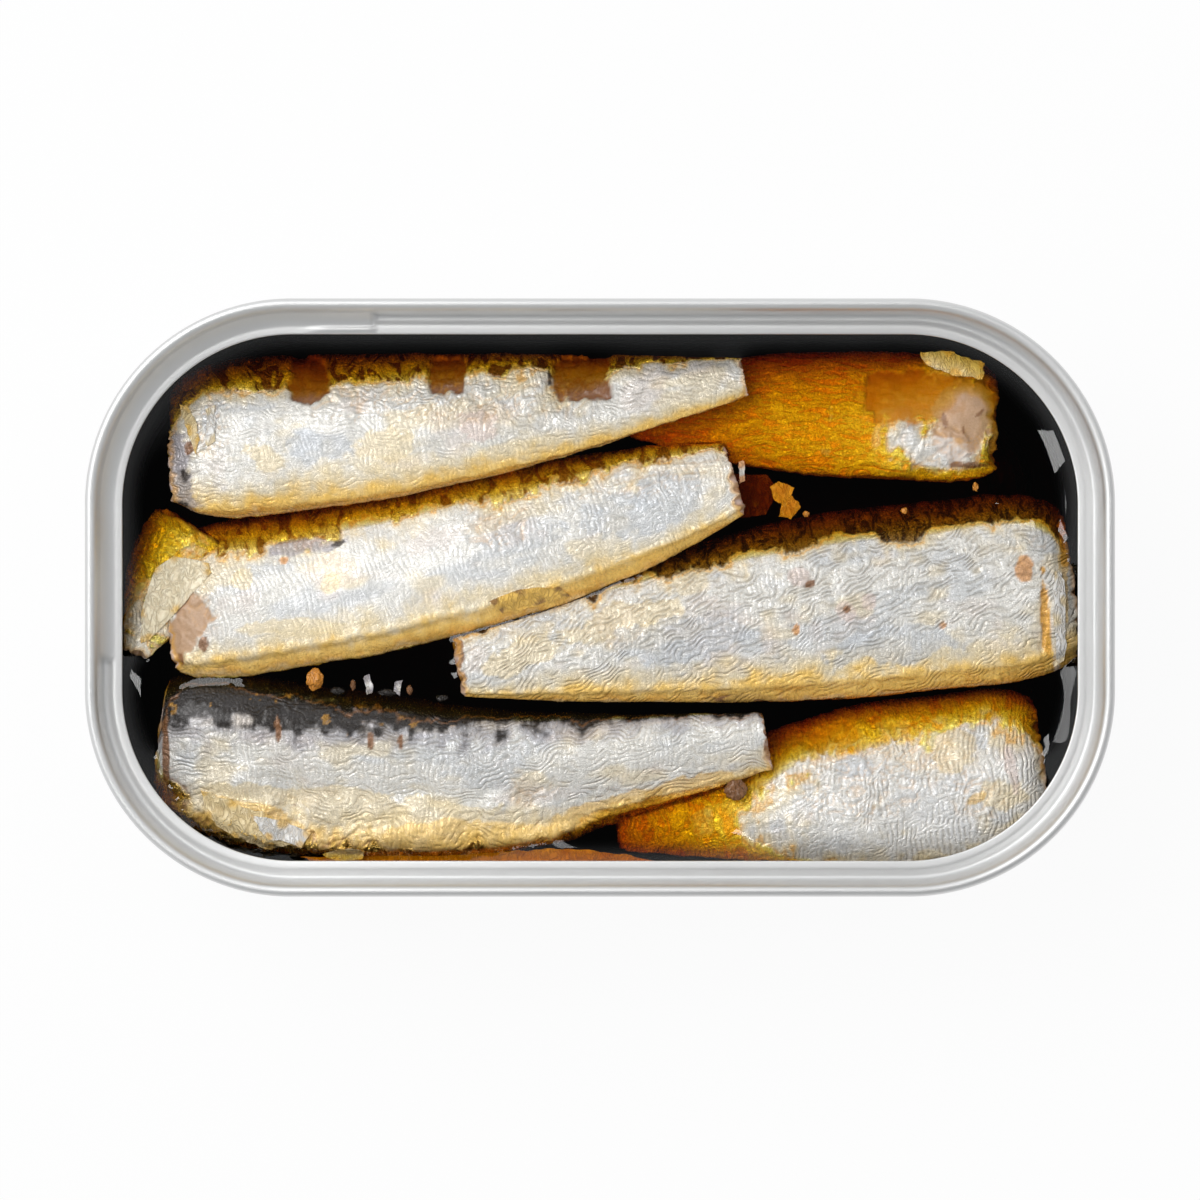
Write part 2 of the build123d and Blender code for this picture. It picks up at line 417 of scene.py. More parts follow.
# foil gives two tones of the skin under the oil: first the painted highlight on its high folds, then the
# painted shade in its low ones; shine is where the painted highlight begins
fishLooks = {
    "sardine_rear_left": dict(
        headTo=-1, seed=1, ribs=0.50, waves=0.95, slant=0.25, gold=0.74, keel=-0.86, climb=0.12,
        foil=((1.0, 0.74, 0.14), (0.22, 0.08, 0.006)), shine=0.50, gleam=0.30, crumple=0.5,
        calm=[(-28, 16, 13, 5.0)],
        lifts=[(-26, 18.5, 16, 2.5, 0.25), (-1.9, 22.3, 3.7, 3.4, -1.0), (9, 25.4, 8, 2.0, -0.8)],
        marks=dict(
            window=[(-29.9, 23.0, 1.9, 2.6, 0), (-15.8, 23.2, 1.8, 2.1, 0), (-1.9, 22.9, 3.0, 2.6, 0)],
            cool=[(-28.9, 15.3, 3.0, 1.6, 0), (-40.1, 18.0, 0.8, 1.8, 0)],
            cream=[(-21.5, 15.6, 3.0, 1.5, 0), (-34, 14.2, 2.0, 1.5, 0)],
            pink=[(-12.2, 17.7, 2.4, 1.4, 0)],
            slate=[(-43.6, 12.9, 2.2, 4.4, 8)],
            black=[(-42.6, 12.6, 0.8, 0.9, 0), (-5.2, 22.9, 0.12, 2.0, 0), (-43.4, 9.3, 1.0, 0.6, 0)],
            brown=[(-42.0, 15.4, 0.5, 0.8, 0)],
        ),
        ruffles=[(-22, 20, 10, 2.2, 0.20), (-8, 20.4, 9, 2.6, 0.18), (-40.3, 17.5, 2.0, 3.0, 0.3)],
    ),
    "sardine_side_scrap": dict(
        headTo=1, seed=2, ribs=0.2, waves=0.9, slant=0.4, gold=1.3, keel=-1.5, climb=0.1,
        foil=((1.0, 0.84, 0.18), (0.88, 0.54, 0.04)), shine=0.43, gleam=0.40, crumple=0.45,
        lifts=[(-44, 4.5, 6, 7, 0.12)], marks=dict(),
        ruffles=[(-44, 5, 5, 6, 0.2)],
    ),
    "sardine_middle_left": dict(
        headTo=-1, seed=3, ribs=0.60, waves=0.38, slant=0.1, gold=0.70, keel=-0.7, climb=0.12,
        foil=((1.0, 0.76, 0.18), (0.36, 0.16, 0.012)), shine=0.48, gleam=0.28, crumple=0.5,
        marks=dict(
            slate=[(-30.0, 5.4, 4.0, 0.8, 8)],
            black=[(-26.9, 5.6, 0.7, 0.4, 20)],
            stain=[(-32.5, 3.8, 0.5, 0.4, 0)],
            cream=[(-36.5, 1.8, 0.9, 1.4, 0), (-27.6, 1.3, 1.0, 1.1, 0), (-31, -3.0, 5, 1.0, 0)],
            flesh=[(-42.0, -2.3, 1.7, 4.4, -25)],
            brown=[(-40.6, -4.8, 0.5, 0.8, 0), (-43.3, -6.4, 0.4, 0.6, 0)],
            gold=[(-7.1, -0.3, 4.0, 0.9, 14), (4.5, 3.7, 8.5, 0.9, 21), (-27, -7.6, 13, 0.9, 7)],
            cool=[(4, 9.3, 6, 2.5, 20)],
        ),
        folds=[
            ([(-28, -6.6), (-18, -5.3), (-8, -2.6), (2.5, 1.6), (13.5, 6.5)], 0.28, 0.14),
            ([(-4, 11.2), (5, 13.4), (12.5, 13.8)], 0.22, 0.2),
            ([(-2, 10.2), (6, 12.3), (12, 12.7)], 0.2, 0.15),
        ],
        calm=[(-24, 1, 15, 7)],
        ruffles=[(-10.6, 7.2, 3.6, 2.6, 0.26), (4, 12, 9, 2.0, 0.16), (-41, -1, 2.5, 4, 0.16)],
    ),
    "sardine_middle_right": dict(
        headTo=1, seed=4, ribs=0.40, waves=1.45, slant=0.36, gold=0.68, keel=-0.76, climb=0.3,
        # its foil tones are dark brown: painted shade for its back under the oil, which lies in shadow
        foil=((0.34, 0.18, 0.035), (0.07, 0.03, 0.006)), shine=0.50, gleam=0.25, crumple=0.8,
        marks=dict(
            stain=[(43.3, 3.3, 0.9, 1.2, 0), (35.0, -2.9, 0.35, 0.35, 0), (20.0, -3.3, 0.3, 0.5, 0)],
            pink=[(20.3, 2.1, 1.0, 0.8, 0), (25.0, -1.3, 0.9, 0.9, 0), (27.4, -0.5, 0.7, 0.7, 0)],
            brown=[
                (14.7, -10.6, 3.2, 0.5, 0), (-14.8, -5.8, 0.7, 2.6, 12), (21.5, 1.4, 0.5, 0.3, 30),
                (25.2, -1.2, 0.4, 0.35, 0),
            ],
            cream=[(2, -2.5, 6, 1.6, 12), (-8, -6, 4, 1.4, 15)],
            gold=[(47.6, 2.0, 0.5, 4.5, 0), (27, -9.2, 14, 0.8, 6), (46.0, -6.5, 0.5, 2.2, 0)],
            amber=[(45.6, -2.2, 0.45, 4.6, 3), (45.5, -8.6, 2.6, 0.9, 8), (47.9, 5.5, 0.5, 2.0, 0)],
            white=[(46.7, -3.0, 0.6, 4.2, 3)],
            cool=[(8, -4.5, 7, 2, 8), (30, -4.8, 6, 1.8, 8)],
        ),
        folds=[
            ([(45.5, 1), (45.2, -6.5)], 0.26, -0.25),
        ],
        ruffles=[(16, -2.5, 11, 1.6, 0.10), (-1, -4.0, 7, 2.4, 0.12), (44, 4, 3, 3, 0.14)],
    ),
    "sardine_front_left": dict(
        headTo=-1, seed=5, ribs=0.45, waves=1.05, slant=-0.12, gold=0.72, keel=-0.8, climb=0.35,
        foil=((1.0, 0.66, 0.16), (0.30, 0.15, 0.02)), shine=0.48, darkBack=0.21,
        lifts=[(-26, -23.0, 22, 2.2, 1.3), (-38, -21, 5, 3, 0.9)],
        swells=[(-22, -26.0, 24, 3, 1.9)],
        marks=dict(
            brown=[
                (-23.5, -14.6, 0.35, 0.9, 0), (-20.4, -14.6, 0.4, 0.8, 0), (-44.6, -16, 0.4, 6, 0),
                (-33, -13.2, 0.4, 1.2, 10),
            ],
            black=[(-29.3, -8.9, 1.6, 0.9, 0), (-22, -9.2, 1.0, 0.7, 20)],
            cream=[(-30, -20.5, 12, 1.2, -3), (-20, -22.0, 9, 1.3, 0)],
            gold=[(4.5, -20.7, 10, 1.0, 15), (-35, -21.8, 4, 0.7, -15), (-14, -23.6, 9, 0.9, 0)],
        ),
        folds=[
            ([(-40, -22), (-34, -23.8), (-26, -24.6)], 0.28, 0.4),
            ([(-2, -22.2), (6, -20.3), (15, -18)], 0.22, 0.16),
        ],
        ruffles=[
            (-28, -10, 7, 2, 0.28), (-37, -23.5, 6, 2.0, 0.28), (-7, -19.5, 3, 2.4, 0.16),
            (-12, -13.5, 14, 2.6, 0.10), (6, -19, 8, 1.6, 0.10),
        ],
    ),
    "sardine_front_right": dict(
        headTo=1, seed=6, ribs=1.15, waves=0.5, slant=0.3, gold=0.95, keel=-0.9, climb=0.12,
        foil=((1.0, 0.82, 0.16), (0.95, 0.52, 0.035)), shine=0.46, gleam=0.20, crinkle=0.20, crumple=0.55,
        lifts=[(23.6, -20.6, 7.0, 6.0, 0.9), (29, -10.8, 11, 3, 0.7), (9, -24, 7, 4, 0.5)],
        marks=dict(
            white=[(31, -18.3, 12.5, 6.6, 0)],
            cool=[(38, -14, 2.0, 1.6, 0), (26, -17, 2.0, 1.5, 0)],
            cream=[(36.0, -15.3, 2.4, 2.2, 0), (41, -20, 2.0, 1.6, 0)],
            gold=[(38.5, -20.6, 1.0, 0.5, 30), (24, -14.5, 3, 1.2, 20)],
            pink=[(42, -17, 0.6, 3, 10)],
        ),
        folds=[
            (
                [(33.4, -14.4), (35.9, -12.8), (38.4, -14.6), (38.2, -16.6), (35.8, -17.8), (33.5, -16.4)],
                0.22, 0.10,
            ),
        ],
        ruffles=[(26.5, -17.2, 7.0, 5.5, 0.30), (36, -15.5, 4, 4, 0.12), (39, -20.5, 3, 2.5, 0.2)],
    ),
    "sardine_rear_right": dict(
        headTo=1, seed=7, ribs=0.4, waves=0.7, slant=0.05, gold=1.0, keel=-0.9, climb=0.12,
        foil=((1.0, 0.74, 0.07), (1.0, 0.47, 0.02)), shine=0.46, crumple=0.8, stretch=(0.5, 1.7),
        gleam=0.08, crinkle=0.30,
        lifts=[
            (33.6, 15.1, 4.8, 2.3, 0.5), (38.4, 18.6, 3.0, 4.6, 0.5), (36.3, 23.9, 3.6, 1.2, 1.1),
            (24.5, 18.6, 4.5, 4.0, -0.4),
        ],
        marks=dict(
            bare=[(32.3, 20.9, 4.8, 2.6, 0)],
            flesh=[(37.6, 18.7, 3.3, 3.7, 0)],
            white=[(33.8, 15.0, 3.6, 1.3, 0), (36.3, 23.9, 3.0, 0.8, -8)],
            brown=[
                (35.4, 18.2, 0.3, 0.8, 10), (39.0, 18.9, 0.6, 0.2, 40), (37.3, 17.2, 0.2, 0.4, 0),
                (40.7, 16, 0.4, 2.2, 0), (38.6, 13.6, 2.0, 0.3, 0),
            ],
        ),
        ruffles=[(34.5, 15.3, 5.5, 2.2, 0.36), (36.3, 23.9, 3, 1, 0.2)],
    ),
}


def remeshed(node, voxel):
    bm = bmesh.new()
    bm.from_mesh(node.data)
    bmesh.ops.remove_doubles(bm, verts=bm.verts, dist=0.004 * mm)
    mesh = bpy.data.meshes.new("rough")
    bm.to_mesh(mesh)
    bm.free()
    rough = bpy.data.objects.new("rough", mesh)
    bpy.context.scene.collection.objects.link(rough)
    remesh = rough.modifiers.new("remesh", "REMESH")
    remesh.mode = "VOXEL"
    remesh.voxel_size = voxel * mm
    remesh.use_smooth_shade = True
    ready = rough.evaluated_get(bpy.context.evaluated_depsgraph_get())
    fine = bpy.data.meshes.new_from_object(ready)
    bpy.data.objects.remove(rough)
    return fine


def fishLengths(points, headTo):  # along from the head, share across from belly to back, half width
    plan = points[:, :2] / mm
    centre = plan.mean(0)
    axes = np.linalg.eigh(np.cov((plan - centre).T))[1]
    heading = axes[:, 1]
    heading = heading * (-headTo if heading[0] > 0 else headTo)
    across = np.array([-heading[1], heading[0]])
    across = across * np.sign(across[1])
    along = (plan - centre) @ heading
    along = along - along.min()
    side = (plan - centre) @ across
    count = 40
    stations = np.linspace(0, along.max(), count)
    nearest = (along / along.max() * (count - 1)).round().astype(int)
    low = np.array([side[nearest == k].min() for k in range(count)])
    high = np.array([side[nearest == k].max() for k in range(count)])
    middle = np.interp(along, stations, (low + high) / 2)
    half = np.interp(along, stations, (high - low) / 2)
    return along, (side - middle) / half, half, np.append(heading, 0)


class FishField:  # a fish's points with the noises and marks laid over them
    def __init__(self, points, normals, look):
        self.look, self.seed = look, look["seed"]
        self.x, self.y = points[:, 0] / mm, points[:, 1] / mm
        self.along, self.share, self.half, heading = fishLengths(points, look["headTo"])
        self.side = self.share * self.half
        self.depth = (oilLevel - points[:, 2]) / mm
        self.nearEnd = np.minimum(self.along, self.along.max() - self.along)
        self.cut = ease(0.5, 0.8, np.abs(normals @ heading)) * ease(4.5, 2.5, self.nearEnd)
        self.inward = np.sign(self.along.max() / 2 - self.along)[:, None] * heading
        self.streak = self.cloud(0.8, 3.5, 1)
        self.fine = self.cloud(0.8, 0.8, 2)
        self.ragged = self.cloud(2.6, 2.0, 21, 4)
        self.shore = self.depth + 0.60 * self.streak + 1.15 * self.ragged + 0.25 * self.fine
        self.soaked = ease(-0.12, 0.16, self.shore)

    def cloud(self, alongSize, sideSize, more, octaves=3, slant=0.0):
        side = (self.side + slant * self.along) / sideSize
        place = np.stack((self.along / alongSize, side, 0 * side), 1)
        return cloudNoise(place, self.seed * 10 + more, octaves)

    def marked(self, kind):
        cover = np.zeros(len(self.x))
        for markX, markY, wide, deep, turn in self.look["marks"].get(kind, []):
            turn = math.radians(turn)
            x, y = self.x - markX, self.y - markY
            u = (x * math.cos(turn) + y * math.sin(turn)) / wide
            w = (y * math.cos(turn) - x * math.sin(turn)) / deep
            power = 5 if kind in ("window", "bare") else 2
            edge = (np.abs(u) ** power + np.abs(w) ** power) ** (1 / power)
            edge += (0.30 if power == 5 else 0.75) * self.ragged + 0.30 * self.fine
            cover = np.maximum(cover, ease(1.12, 0.90, edge))
        return cover

    def mounds(self, kind):
        total = np.zeros(len(self.x))
        for x, y, wide, deep, height in self.look.get(kind, []):
            u = (self.x - x + 1.3 * self.ragged) / wide
            w = (self.y - y + 0.9 * self.ragged) / deep
            total += height * np.exp(-(u**4) - w**4)
        return total

    def quiet(self):  # 1 where the skin lies smooth
        total = np.zeros(len(self.x))
        for x, y, wide, deep in self.look.get("calm", []):
            total += np.exp(-(((self.x - x) / wide) ** 4) - ((self.y - y) / deep) ** 4)
        return total

    def folded(self):  # heights of the folds and curls, and the cover of the lines at their feet
        height, foot = np.zeros(len(self.x)), np.zeros(len(self.x))
        wander = 0.45 * self.cloud(1.4, 1.4, 3, 3)
        strength = ease(-0.7, 0.1, self.cloud(3.0, 3.0, 7, 2))
        for places, width, rise in self.look.get("folds", []):
            away = np.full(len(self.x), 99.0)
            for (x0, y0), (x1, y1) in zip(places, places[1:]):
                dx, dy = x1 - x0, y1 - y0
                share = ((self.x - x0) * dx + (self.y - y0) * dy) / (dx * dx + dy * dy)
                share = np.clip(share, 0, 1)
                away = np.minimum(away, np.hypot(self.x - x0 - share * dx, self.y - y0 - share * dy))
            away = away + wander
            height += rise * np.exp(-((away / width) ** 2)) * strength
            beside = (away - 1.5 * width) / (0.55 * width)
            foot = np.maximum(foot, 0.5 * np.exp(-(beside**2)) * strength)
        amount = self.mounds("ruffles")
        size = fishShared["curl"]
        bentAlong = (self.along + 1.5 * self.cloud(2.4, 2.4, 31, 2)) / size
        bentSide = (self.side + 1.5 * self.cloud(2.4, 2.4, 32, 2)) / size
        curl = np.abs(cloudNoise(np.stack((bentAlong, bentSide, 0 * bentSide), 1), self.seed + 50, 2))
        height += amount * (ease(0.26, 0.0, curl) - 0.3)
        foot = np.maximum(foot, ease(0.06, 0.2, amount) * np.exp(-(((curl - 0.30) / 0.06) ** 2)))
        return height, foot


def tornEnds(field):  # how far the cut ends draw in, as moves in millimetres
    place = np.stack((field.side / 1.2, field.depth / 1.2, 0 * field.side), 1)
    drawn = np.abs(cloudNoise(place, field.seed + 90, 3)) * ease(2.2, 0.2, field.nearEnd)
    drawn = fishShared["endTear"] * drawn
    return field.inward * drawn[:, None]


def fishRelief(field):  # how far the skin stands out, in millimetres
    shared, look = fishShared, field.look
    relief = shared["dents"] * field.cloud(6, 4, 4, 2) + shared["grain"] * field.fine
    torn = field.marked("bare") + 0.7 * field.marked("flesh")
    relief -= shared["tornStep"] * (np.minimum(torn, 1) + 0.6 * field.soaked)
    relief -= shared["windowStep"] * field.marked("window")
    relief += shared["foilFolds"] * np.abs(field.cloud(2.2, 1.2, 6, 2)) * field.soaked
    keel = field.share + 0.04 * field.streak - look["keel"]
    relief += shared["keelRise"] * np.exp(-((keel / 0.05) ** 2))
    relief -= shared["keelDrop"] * ease(0.0, -0.12, keel)
    return relief + field.mounds("swells") + field.folded()[0]


def lay(paint, cover, tone):
    return paint + (np.array(skinTones.get(tone, tone)) - paint) * np.clip(cover, 0, 1)[:, None]


def fishPaint(field):  # base colours, and the shares of metal, wrinkles and foil
    look, share = field.look, field.share
    darkBack = look.get("darkBack")
    paint = np.tile(skinTones["pale"], (len(field.x), 1))
    for tone, strength, low, high, sizes in skinWashes:
        paint = lay(paint, strength * ease(low, high, field.cloud(*sizes)), tone)
    if darkBack:
        spots = field.cloud(1.3, 1.0, 14, 4)
        band = share + 0.20 * spots + 0.20 * field.ragged + 0.12 * field.streak - 0.0115 * field.along
        paint = lay(paint, 0.55 * ease(darkBack - 0.28, darkBack + 0.02, band), "slate")
        paint = lay(paint, 0.97 * ease(darkBack, darkBack + 0.16, band), "ink")
        paint = lay(paint, 0.5 * ease(0.30, 0.36, -spots) * ease(darkBack, darkBack + 0.2, band), "amber")
    belly = -share + 0.18 * field.ragged + 0.08 * field.fine + 0.05 * field.streak
    for tone, strength, low, high in bellyBands:
        paint = lay(paint, strength * ease(look["gold"] + low, look["gold"] + high, belly), tone)
    if not darkBack:
        paint = lay(paint, 0.65 * ease(-1.2, -0.1, field.shore), "cream")
    edgeLine = np.exp(-(((field.shore + 0.16) / 0.11) ** 2))
    paint = lay(paint, 0.75 * edgeLine, "brown" if darkBack else "amber")
    isBack = ease(0.1, 0.4, share) if darkBack else 0 * share
    paint = lay(paint, 0.95 * isBack * field.soaked, "ink")
    foil = field.soaked * (1 - isBack)
    for kind in look["marks"]:
        strength = markStrengths.get(kind, 0.92)
        cover = field.marked(kind)
        paint = lay(paint, strength * cover, kind)
        foil = foil * (1 - strength * cover)
    paint = lay(paint, 0.30 * field.folded()[1] * (1 - foil) * (1 - isBack), "amber")
    paint = lay(paint, 0.60 * ease(0.9, 0.25, field.nearEnd + 0.5 * field.ragged) * (1 - foil), "amber")
    cut = lay(np.tile(skinTones["flesh"], (len(field.x), 1)), ease(-0.1, 0.3, field.fine), "pink")
    cut = lay(cut, ease(0.0, 0.4, field.cloud(0.6, 1.2, 17)), "brown")
    paint = paint * (1 - 0.9 * field.cut[:, None]) + cut * 0.9 * field.cut[:, None]
    windows = field.marked("window")
    smooth = np.clip(field.marked("bare") + field.marked("flesh") + windows + field.cut, 0, 1)
    metal = (0.20 + look.get("gleam", 0.62) * foil) * (1 - smooth)
    metal = metal * (1 - windows)
    wrinkled = (1 - 0.8 * smooth) * (1 - 0.6 * field.quiet())
    return np.clip(paint, 0, 1), np.stack((metal, wrinkled, foil * (1 - field.cut)), 1)


def buildFish(name, look):
    mesh = remeshed(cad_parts[name], fishShared["voxel"])
    points, normals = pointsOf(mesh), normalsOf(mesh)
    faceUp = ease(-0.3, 0.5, normals[:, 2])
    points[:, 2] += FishField(points, normals, look).mounds("lifts") * faceUp * mm
    field = FishField(points, normals, look)
    movePoints(mesh, points + normals * (fishRelief(field) * mm)[:, None] + tornEnds(field) * mm)
    paint, finish = fishPaint(field)
    keepAttribute(mesh, "skinPaint", paint)
    keepAttribute(mesh, "skinFinish", finish)
    keepAttribute(mesh, "fishPlace", np.stack((field.along, field.side, field.depth), 1))
    spoken = "".join(word.capitalize() for word in name.split("_"))
    return placePiece(mesh, spoken[0].lower() + spoken[1:], fishSkin(name, look), name)


def creases(place, width, distortion, detail=2.5):  # 1 along wandering lines, one to the unit
    return (place.noise(1.0, detail, 0.55, distortion) - 0.5).size().ease(width, 0.0)


def ripples(place, across, spacing, drift):  # 0 along thin wandering furrows, 1 between them
    turns = across * (1 / spacing) + place.noise(0.28, 1.6, 0.5) * drift
    return (turns * math.pi).maths("SINE").size()


def fishSkin(name, look):
    shared = fishShared
    steady = {"Coat Roughness": 0.12, "IOR": 1.42, "Specular IOR Level": 0.5}
    material, shader, start = newMaterial(name + "Skin", steady)
    along, side = attribute(start, "fishPlace").parts()[:2]
    metal, wrinkled, foil = attribute(start, "skinFinish").parts()
    place = along.joined(side, look["seed"] * 3.7)
    where = place.noise(0.17, 2)
    grain = place.noise(3.2, 3, 0.6)
    broken = place.scaled(0.7, 1.3, 1).noise(1.0, 2)
    waved = where.ease(0.30, 0.48) * broken.ease(0.38, 0.60) * look["waves"]
    ribbed = where.ease(0.66, 0.46) * broken.ease(0.62, 0.46) * look["ribs"]
    waves = ripples(place, side + along * look["slant"], shared["ripple"], 8.0)
    ribs = ripples(place, along + side * 0.12, shared["ribbing"], 4.0)
    crinkle = creases(place.scaled(1.1, 1.3, 1), 0.08, 1.6)
    lines = (1 - waves) * waved + (1 - ribs) * ribbed + crinkle * 0.35
    milk = place.scaled(0.8, 0.5, 1).noise(1.0, 2.5, 0.55)
    paint = attribute(start, "skinPaint")
    tone = (milk.ease(0.45, 0.62) * 0.8).mix(paint, toned(paint, (1.12, 1.12, 1.13)))
    size = look.get("crumple", 1.0)
    stretchAlong, stretchSide = look.get("stretch", (1.25, 0.75))
    crumpled = place.scaled(stretchAlong * size, stretchSide * size, 1)
    crumple = crumpled.noise(1.0, 2, 0.5, 1.2)
    threads = creases(crumpled, 0.05, 1.4, 2)
    # the skin under the oil is painted in three tones by its crumple: painted shade in the low folds, gold
    # between, and painted highlights on the high folds and along the raised threads
    foilHighlight, foilShade = look["foil"]
    middle = [0.5 * a + 0.5 * b for a, b in zip(foilHighlight, foilShade)]
    foilLitAndShaded = crumple.ease(look["shine"] - 0.08, look["shine"]).mix((*foilShade, 1), (*middle, 1))
    foilLitAndShaded = crumple.ease(look["shine"] + 0.02, look["shine"] + 0.10).mix(foilLitAndShaded, (*foilHighlight, 1))
    foilLitAndShaded = (threads * 0.6).mix(foilLitAndShaded, (*foilHighlight, 1))
    tone = foil.mix(tone, foilLitAndShaded)
    # painted shade: the colour darkens along the furrows and creases that the bump sinks
    shade = lines.ease(0.05, 0.90) * wrinkled * shared["furrowShade"]
    tone = shade.mix(tone, toned(tone, (0.62, 0.55, 0.44)))
    height = grain * shared["grainHeight"] + milk * shared["milkHeight"]
    height = (height - lines * shared["furrowDepth"]) * wrinkled
    height = height + (crumple * look.get("crinkle", 0.34) + threads * shared["threadHeight"]) * foil
    feed(
        shader,
        Base_Color=tone,
        Roughness=grain * 0.30 + 0.12,
        Metallic=metal,
        Coat_Weight=wrinkled * (1 - foil * 0.8) * shared["wetness"],
        Normal=bumped(height),
    )
    return material


def bumped(height):  # height in millimetres
    return height.node("ShaderNodeBump", None, {"Strength": 1.0, "Distance": mm, "Height": height})


def toned(paint, shares):
    return paint.node("ShaderNodeVectorMath", {"operation": "MULTIPLY"}, {0: paint, 1: shares})


# Torn scraps: flakes of skin drape over what is under them, crumbs are lumps of flesh
flakeLooks = {  # plan outline, height over what is under it or depth in the oil, tone, tone of edges
    "scrapFlap": (
        [(-47.2, -1.5), (-45.7, 3.0), (-43.8, 4.3), (-40.1, 3.6), (-39.8, 2.6), (-43.3, -1.3),
         (-46.2, -4.3), (-47.0, -4.6)], 0.25, "ivory", "gold",
    ),
    "collarStrip": (
        [(46.5, 2.6), (47.2, 3.0), (47.7, -0.3), (47.6, -6.4), (46.7, -7.0), (46.4, -2.3)],
        0.25, "white", "cream",
    ),
    "headSpikeLeft": (
        [(-43.2, 20.0), (-42.4, 19.8), (-40.9, 16.2), (-41.4, 14.6), (-42.3, 17.0)],
        0.2, "cream", "gold",
    ),
    "headSpikeRight": ([(-40.4, 19.4), (-39.5, 19.8), (-39.4, 16.0), (-40.3, 15.4)], 0.2, "white", "cream"),
    "bellyFlakeLong": (
        [(-41.0, -19.8), (-37.4, -20.9), (-33.8, -22.3), (-30.7, -25.0), (-33.8, -25.9),
         (-37.4, -24.6), (-40.4, -22.5)], 0.15, "cream", "gold",
    ),
    "bellyFlakeShort": (
        [(-35.9, -22.3), (-32.5, -22.9), (-29.6, -24.1), (-30.5, -25.6), (-34.0, -24.6)],
        0.3, "white", "gold",
    ),
    "wallFlake": (
        [(-28.6, -26.5), (-26.6, -25.7), (-24.0, -25.9), (-24.5, -27.0), (-27.1, -27.3)],
        0.2, "cream", "gold",
    ),
    "tailFlake": ([(14.2, 13.9), (14.7, 14.1), (14.9, 12.0), (14.4, 11.8)], 0.3, "white", "stain"),
    "backFlap": (
        [(32.9, 25.2), (35.9, 25.4), (39.5, 24.1), (39.4, 22.5), (36.4, 22.9), (33.4, 23.9)],
        0.25, "cream", "gold",
    ),
    "frontSkin": (
        [(-31, -27.0), (-24, -26.8), (-16, -26.6), (-8, -26.2), (-3.5, -26.0), (0.5, -26.4),
         (4.5, -27.1), (7.0, -27.7), (1.5, -27.9), (-3, -28.3), (-8, -28.5), (-16, -28.6),
         (-27, -28.5)], -0.8, "gold", "amber",
    ),
    "tailFlesh": (
        [(13.8, 12.8), (17.2, 12.6), (18.4, 11.0), (17.2, 8.6), (14.2, 8.2)], -2.8, "window", "brown",
    ),
    "orangeScrap": (
        [(17.5, 11.4), (18.4, 12.0), (20.0, 11.3), (19.5, 10.4), (20.6, 9.3), (19.7, 8.1), (18.5, 8.4),
         (18.8, 9.7), (17.8, 10.2)], -0.5, "stain", "amber",
    ),
    "backShardLeft": ([(-24.4, -8.2), (-23.9, -8.0), (-23.3, -9.7), (-23.9, -9.9)], 0.1, "white", "slate"),
    "backShardRight": (
        [(-21.0, -8.6), (-20.3, -8.5), (-20.6, -10.1), (-21.2, -9.6)],
        0.1, "white", "slate",
    ),
    "tornBit": (
        [(-11.2, -0.3), (-8.2, 0.8), (-4.0, 1.2), (-3.0, 0.2), (-6.1, -0.7), (-10.2, -1.7)],
        0.2, "gold", "brown",
    ),
}
crumbLooks = {  # place and half sizes in millimetres, height above the oil, and tone
    "orangeCrumbLeft": (21.2, 8.6, 0.3, 0.3, 0.25, 0.0, "stain"),
    "orangeCrumbRight": (31.3, 8.9, 0.35, 0.3, 0.25, 0.0, "stain"),
    "orangeDrop": (38.6, 11.4, 0.3, 0.45, 0.3, 0.0, "stain"),
    "vertebra": (13.9, -19.7, 1.15, 1.1, 0.6, 0.3, "brown"),
    "fleshBit": (-29.3, -8.4, 0.8, 1.1, 0.5, 0.3, "stain"),
    "backCrumbOne": (-27.0, -9.6, 0.7, 0.4, 0.4, 0.1, "ink"),
    "backCrumbTwo": (-25.4, -9.0, 0.3, 0.5, 0.35, 0.2, "brown"),
    "backCrumbThree": (-21.9, -9.8, 0.8, 0.35, 0.4, 0.1, "ink"),
    "backCrumbFour": (-19.6, -9.5, 0.3, 0.45, 0.35, 0.2, "brown"),
    "rimSpeck": (50.62, 14.65, 0.22, 0.22, 0.2, 6.55, "ink"),
    "backCrumbFive": (-16.2, -10.3, 0.6, 0.35, 0.4, 0.1, "ink"),
}


def scrapFlesh():
    material, shader, start = newMaterial("scrapFlesh", {"Coat Roughness": 0.1, "IOR": 1.42})
    place = objectPlace(start).scaled(1000, 1000, 1000)
    grain = place.noise(2.2, 3, 0.6)
    lines = creases(place.scaled(1.3, 0.7, 1), 0.11, 1.4)
    paint = attribute(start, "skinPaint")
    # painted shade: the colour darkens in the dips of the grain and along the creases, the low places of
    # the bump
    tone = (grain.ease(0.60, 0.35) * 0.25).mix(paint, toned(paint, (0.66, 0.56, 0.40)))
    tone = (lines * 0.4).mix(tone, toned(paint, (0.62, 0.52, 0.38)))
    height = grain * 0.05 - lines * 0.10
    feed(
        shader,
        Base_Color=tone,
        Roughness=grain * 0.3 + 0.2,
        Coat_Weight=grain * 0.5,
        Normal=bumped(height),
    )
    return material


scrapShared = dict(thickness=0.14, overOil=0.1, drift=0.15, lumps=0.45)  # of flakes, and of crumbs the last


